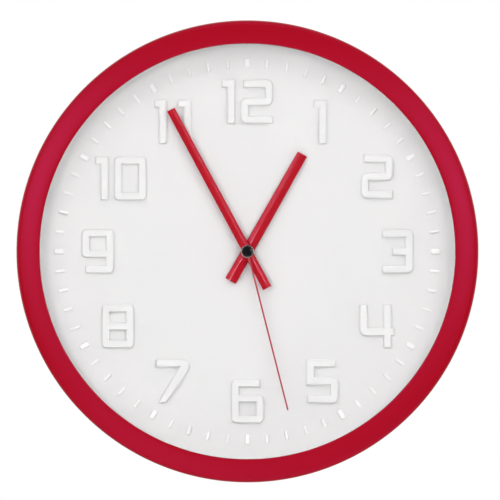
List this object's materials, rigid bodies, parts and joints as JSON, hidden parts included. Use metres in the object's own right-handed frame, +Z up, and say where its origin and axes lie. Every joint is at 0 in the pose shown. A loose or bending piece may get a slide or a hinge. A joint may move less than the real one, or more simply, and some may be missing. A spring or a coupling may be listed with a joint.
{
  "type": "wall clock",
  "caption": "Round analogue wall clock: ring-shaped case, clear lens, white dial with raised numerals, three hands, battery movement and keyhole hanger at the back.",
  "frame": {"origin": "centre of the hanging keyhole's entry hole, on the wall plane", "axes": "+Z up, +X to the right as the dial is read, +Y out of the clock's back into the wall; the dial faces -Y; the hands turn about an axis 96 mm below the origin"},
  "size_m": [0.305, 0.04, 0.305],
  "materials": {
    "ring_red": "satin gloss moulded red",
    "lens_clear": "clear polished sheet",
    "dial_white": "fine matt white",
    "numeral_white": "satin white",
    "hand_red": "semi-gloss red",
    "second_red": "dark red paint",
    "tube_brass": "turned brass",
    "rim_chrome": "bright plated",
    "cap_black": "polished black",
    "screw_steel": "zinc plated",
    "arbor_steel": "ground steel",
    "hanger_steel": "zinc plated stamping",
    "movement_black": "fine textured black moulding",
    "bridge_white": "natural moulding",
    "gear_natural": "natural acetal",
    "knob_white": "white moulding",
    "magnet_grey": "sintered ferrite",
    "stator_iron": "stamped soft iron",
    "bobbin_white": "natural moulding",
    "winding_copper": "enamelled copper wire",
    "board_green": "solder resist",
    "chip_black": "cast resin",
    "crystal_can": "drawn can",
    "battery_steel": "nickel plated",
    "battery_sleeve": "shrunk film",
    "contact_nickel": "nickel plated strip"
  },
  "bodies": {
    "clock": {"case_ring": "ring_red", "lens": "lens_clear", "dial": "dial_white", "lens_spacer": "dial_white", "dial_retainer": "dial_white", "case_screws": "screw_steel", "hour_marks": "numeral_white", "minute_marks": "numeral_white", "hanger_plate": "hanger_steel", "hanger_screws": "screw_steel", "movement_case": "movement_black", "movement_screws": "screw_steel", "movement_cover": "movement_black", "gear_bridge": "bridge_white", "bridge_screws": "screw_steel", "stator": "stator_iron", "coil_core": "stator_iron", "coil_bobbin": "bobbin_white", "coil_winding": "winding_copper", "circuit_board": "board_green", "chip": "chip_black", "quartz_crystal": "crystal_can", "battery": "battery_steel", "battery_sleeve": "battery_sleeve", "battery_contact_plus": "contact_nickel", "battery_contact_minus": "contact_nickel", "numeral_01": "numeral_white", "numeral_02": "numeral_white", "numeral_03": "numeral_white", "numeral_04": "numeral_white", "numeral_05": "numeral_white", "numeral_06": "numeral_white", "numeral_07": "numeral_white", "numeral_08": "numeral_white", "numeral_09": "numeral_white", "numeral_10": "numeral_white", "numeral_11": "numeral_white", "numeral_12": "numeral_white"},
    "second": {"second_hand": "second_red", "second_hand_tube": "tube_brass", "cap_rim": "rim_chrome", "second_hand_cap": "cap_black", "second_arbor": "arbor_steel", "second_wheel": "gear_natural"},
    "intermediate": {"intermediate_wheel": "gear_natural"},
    "rotor": {"rotor_pinion": "gear_natural", "rotor_magnet": "magnet_grey"},
    "third": {"third_wheel": "gear_natural"},
    "centre": {"centre_wheel": "tube_brass"},
    "minute": {"minute_hand": "hand_red", "minute_tube": "tube_brass"},
    "motion": {"motion_wheel": "gear_natural"},
    "hour": {"hour_hand": "hand_red", "hour_wheel": "gear_natural"},
    "setting": {"setting_knob": "knob_white"}
  },
  "joints": [
    {"name": "second_hand_turn", "type": "hinge", "parent": "clock", "child": "second", "pos_m": [0, -0.0165, -0.096], "axis": [0, 1, 0], "continuous": true},
    {"name": "intermediate_turn", "type": "hinge", "parent": "clock", "child": "intermediate", "pos_m": [-0.00125, -0.0165, -0.08709], "axis": [0, 1, 0], "continuous": true},
    {"name": "rotor_turn", "type": "hinge", "parent": "clock", "child": "rotor", "pos_m": [-0.00232, -0.0165, -0.07946], "axis": [0, 1, 0], "continuous": true},
    {"name": "third_turn", "type": "hinge", "parent": "clock", "child": "third", "pos_m": [-0.00869, -0.0165, -0.09367], "axis": [0, 1, 0], "continuous": true},
    {"name": "centre_turn", "type": "hinge", "parent": "clock", "child": "centre", "pos_m": [0, -0.0165, -0.096], "axis": [0, 1, 0], "continuous": true},
    {"name": "minute_hand_turn", "type": "hinge", "parent": "clock", "child": "minute", "pos_m": [0, -0.0165, -0.096], "axis": [0, 1, 0], "continuous": true},
    {"name": "motion_turn", "type": "hinge", "parent": "clock", "child": "motion", "pos_m": [0.00735, -0.0165, -0.08983], "axis": [0, 1, 0], "continuous": true},
    {"name": "hour_hand_turn", "type": "hinge", "parent": "clock", "child": "hour", "pos_m": [0, -0.0165, -0.096], "axis": [0, 1, 0], "continuous": true},
    {"name": "setting_turn", "type": "hinge", "parent": "clock", "child": "setting", "pos_m": [0.01681, -0.0165, -0.08816], "axis": [0, 1, 0], "continuous": true}
  ],
  "couplings": [
    {"joint": "intermediate_turn", "follows": "second_hand_turn", "ratio": -5},
    {"joint": "rotor_turn", "follows": "second_hand_turn", "ratio": 30},
    {"joint": "third_turn", "follows": "second_hand_turn", "ratio": -0.125},
    {"joint": "centre_turn", "follows": "second_hand_turn", "ratio": 0.016667},
    {"joint": "motion_turn", "follows": "minute_hand_turn", "ratio": -0.33333},
    {"joint": "hour_hand_turn", "follows": "minute_hand_turn", "ratio": 0.083333},
    {"joint": "setting_turn", "follows": "minute_hand_turn", "ratio": 1}
  ]
}
